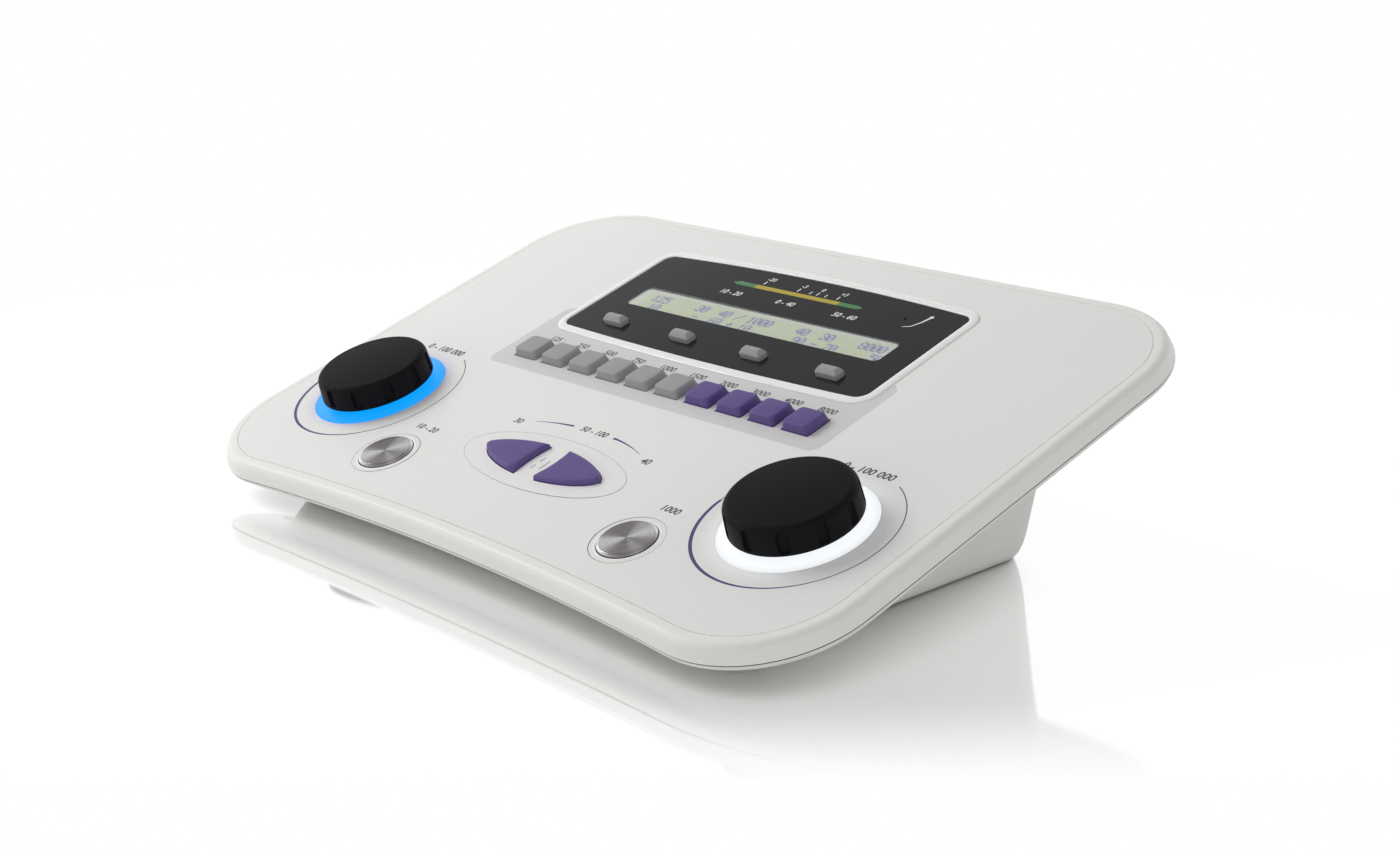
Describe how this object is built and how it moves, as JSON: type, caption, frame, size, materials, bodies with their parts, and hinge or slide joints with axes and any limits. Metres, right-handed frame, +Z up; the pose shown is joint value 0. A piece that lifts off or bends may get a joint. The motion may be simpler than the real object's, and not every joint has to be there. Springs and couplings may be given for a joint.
{
  "type": "audiometer",
  "caption": "Desktop audiometer with a sloped control panel, turning knobs with lit rings, press keys, a green text display and rear sockets",
  "frame": {"origin": "middle of the footprint on the table", "axes": "+X to the user's right along the long side, +Y to the back, +Z up"},
  "size_m": [0.27, 0.1736, 0.0716],
  "materials": {
    "housing_white": "fine matt moulding, very slightly textured",
    "overlay_print": "satin printed film with a faint fleck",
    "frame_white": "smooth gloss",
    "bezel_dark": "smooth dark gloss",
    "clear_window": "clear polished",
    "level_lights": "translucent, lit from behind in green and yellow",
    "lcd_green": "smooth pale green display glass",
    "board_green": "solder mask",
    "soft_key_grey": "satin",
    "key_grey": "satin",
    "key_purple": "satin",
    "button_purple": "satin",
    "spun_metal": "circular brushing with a polished bevel",
    "knob_black": "soft matt black",
    "ring_blue": "translucent, lit blue from behind",
    "ring_white": "translucent, lit white from behind",
    "led_clear": "clear lens",
    "switch_black": "moulded",
    "socket_black": "moulded",
    "plate_grey": "fine matt moulding",
    "bright_steel": "plain plated",
    "foot_rubber": "matt"
  },
  "bodies": {
    "housing": {"top_housing": "housing_white", "bottom_housing": "housing_white", "overlay_panel": "overlay_print", "display_frame": "frame_white", "display_bezel": "bezel_dark", "display_window": "clear_window", "level_light_bar": "level_lights", "lcd_frame": "bright_steel", "lcd_glass": "lcd_green", "lcd_board": "board_green", "encoder_left": "bright_steel", "encoder_right": "bright_steel", "light_ring_left": "ring_blue", "light_ring_right": "ring_white", "ring_leds": "led_clear", "key_switches": "switch_black", "soft_key_switches": "switch_black", "talkover_switches": "switch_black", "round_button_switches": "switch_black", "talkback_mic": "bright_steel", "main_board": "board_green", "socket_board": "board_green", "board_screws": "bright_steel", "socket_plate": "plate_grey", "headset_left_jack": "socket_black", "headset_right_jack": "socket_black", "bone_jack": "socket_black", "response_jack": "socket_black", "talkback_jack": "socket_black", "monitor_jack": "socket_black", "usb_socket": "bright_steel", "power_inlet": "socket_black", "case_screws": "bright_steel", "rubber_feet": "foot_rubber"},
    "key_1_body": {"key_1": "key_grey"},
    "key_2_body": {"key_2": "key_grey"},
    "key_3_body": {"key_3": "key_grey"},
    "key_4_body": {"key_4": "key_grey"},
    "key_5_body": {"key_5": "key_grey"},
    "key_6_body": {"key_6": "key_grey"},
    "key_7_body": {"key_7": "key_purple"},
    "key_8_body": {"key_8": "key_purple"},
    "key_9_body": {"key_9": "key_purple"},
    "key_10_body": {"key_10": "key_purple"},
    "soft_key_1_body": {"soft_key_1": "soft_key_grey"},
    "soft_key_2_body": {"soft_key_2": "soft_key_grey"},
    "soft_key_3_body": {"soft_key_3": "soft_key_grey"},
    "soft_key_4_body": {"soft_key_4": "soft_key_grey"},
    "talkover_yes_body": {"talkover_yes_button": "button_purple"},
    "talkover_no_body": {"talkover_no_button": "button_purple"},
    "round_button_left_body": {"round_button_left": "spun_metal"},
    "round_button_right_body": {"round_button_right": "spun_metal"},
    "knob_left_body": {"knob_left": "knob_black", "knob_shaft_left": "bright_steel"},
    "knob_right_body": {"knob_right": "knob_black", "knob_shaft_right": "bright_steel"}
  },
  "joints": [
    {"name": "key_1_press", "type": "slide", "parent": "housing", "child": "key_1_body", "axis": [0, 0.3206, -0.9472], "range_m": [0, 0.0012], "stiffness_N_per_m": 400, "springref_m": -0.0008},
    {"name": "key_2_press", "type": "slide", "parent": "housing", "child": "key_2_body", "axis": [0, 0.3206, -0.9472], "range_m": [0, 0.0012], "stiffness_N_per_m": 400, "springref_m": -0.0008},
    {"name": "key_3_press", "type": "slide", "parent": "housing", "child": "key_3_body", "axis": [0, 0.3206, -0.9472], "range_m": [0, 0.0012], "stiffness_N_per_m": 400, "springref_m": -0.0008},
    {"name": "key_4_press", "type": "slide", "parent": "housing", "child": "key_4_body", "axis": [0, 0.3206, -0.9472], "range_m": [0, 0.0012], "stiffness_N_per_m": 400, "springref_m": -0.0008},
    {"name": "key_5_press", "type": "slide", "parent": "housing", "child": "key_5_body", "axis": [0, 0.3206, -0.9472], "range_m": [0, 0.0012], "stiffness_N_per_m": 400, "springref_m": -0.0008},
    {"name": "key_6_press", "type": "slide", "parent": "housing", "child": "key_6_body", "axis": [0, 0.3206, -0.9472], "range_m": [0, 0.0012], "stiffness_N_per_m": 400, "springref_m": -0.0008},
    {"name": "key_7_press", "type": "slide", "parent": "housing", "child": "key_7_body", "axis": [0, 0.3206, -0.9472], "range_m": [0, 0.0012], "stiffness_N_per_m": 400, "springref_m": -0.0008},
    {"name": "key_8_press", "type": "slide", "parent": "housing", "child": "key_8_body", "axis": [0, 0.3206, -0.9472], "range_m": [0, 0.0012], "stiffness_N_per_m": 400, "springref_m": -0.0008},
    {"name": "key_9_press", "type": "slide", "parent": "housing", "child": "key_9_body", "axis": [0, 0.3206, -0.9472], "range_m": [0, 0.0012], "stiffness_N_per_m": 400, "springref_m": -0.0008},
    {"name": "key_10_press", "type": "slide", "parent": "housing", "child": "key_10_body", "axis": [0, 0.3206, -0.9472], "range_m": [0, 0.0012], "stiffness_N_per_m": 400, "springref_m": -0.0008},
    {"name": "soft_key_1_press", "type": "slide", "parent": "housing", "child": "soft_key_1_body", "axis": [0, 0.3206, -0.9472], "range_m": [0, 0.001], "stiffness_N_per_m": 400, "springref_m": -0.0008},
    {"name": "soft_key_2_press", "type": "slide", "parent": "housing", "child": "soft_key_2_body", "axis": [0, 0.3206, -0.9472], "range_m": [0, 0.001], "stiffness_N_per_m": 400, "springref_m": -0.0008},
    {"name": "soft_key_3_press", "type": "slide", "parent": "housing", "child": "soft_key_3_body", "axis": [0, 0.3206, -0.9472], "range_m": [0, 0.001], "stiffness_N_per_m": 400, "springref_m": -0.0008},
    {"name": "soft_key_4_press", "type": "slide", "parent": "housing", "child": "soft_key_4_body", "axis": [0, 0.3206, -0.9472], "range_m": [0, 0.001], "stiffness_N_per_m": 400, "springref_m": -0.0008},
    {"name": "talkover_yes_press", "type": "slide", "parent": "housing", "child": "talkover_yes_body", "axis": [0, 0.3206, -0.9472], "range_m": [0, 0.001], "stiffness_N_per_m": 400, "springref_m": -0.0008},
    {"name": "talkover_no_press", "type": "slide", "parent": "housing", "child": "talkover_no_body", "axis": [0, 0.3206, -0.9472], "range_m": [0, 0.001], "stiffness_N_per_m": 400, "springref_m": -0.0008},
    {"name": "round_button_left_press", "type": "slide", "parent": "housing", "child": "round_button_left_body", "axis": [0, 0.3206, -0.9472], "range_m": [0, 0.0006], "stiffness_N_per_m": 500, "springref_m": -0.0008},
    {"name": "round_button_right_press", "type": "slide", "parent": "housing", "child": "round_button_right_body", "axis": [0, 0.3206, -0.9472], "range_m": [0, 0.0006], "stiffness_N_per_m": 500, "springref_m": -0.0008},
    {"name": "knob_left_turn", "type": "hinge", "parent": "housing", "child": "knob_left_body", "pos_m": [-0.094, -0.03854, 0.0307], "axis": [0, -0.3206, 0.9472], "continuous": true},
    {"name": "knob_right_turn", "type": "hinge", "parent": "housing", "child": "knob_right_body", "pos_m": [0.094, -0.03854, 0.0307], "axis": [0, -0.3206, 0.9472], "continuous": true}
  ]
}
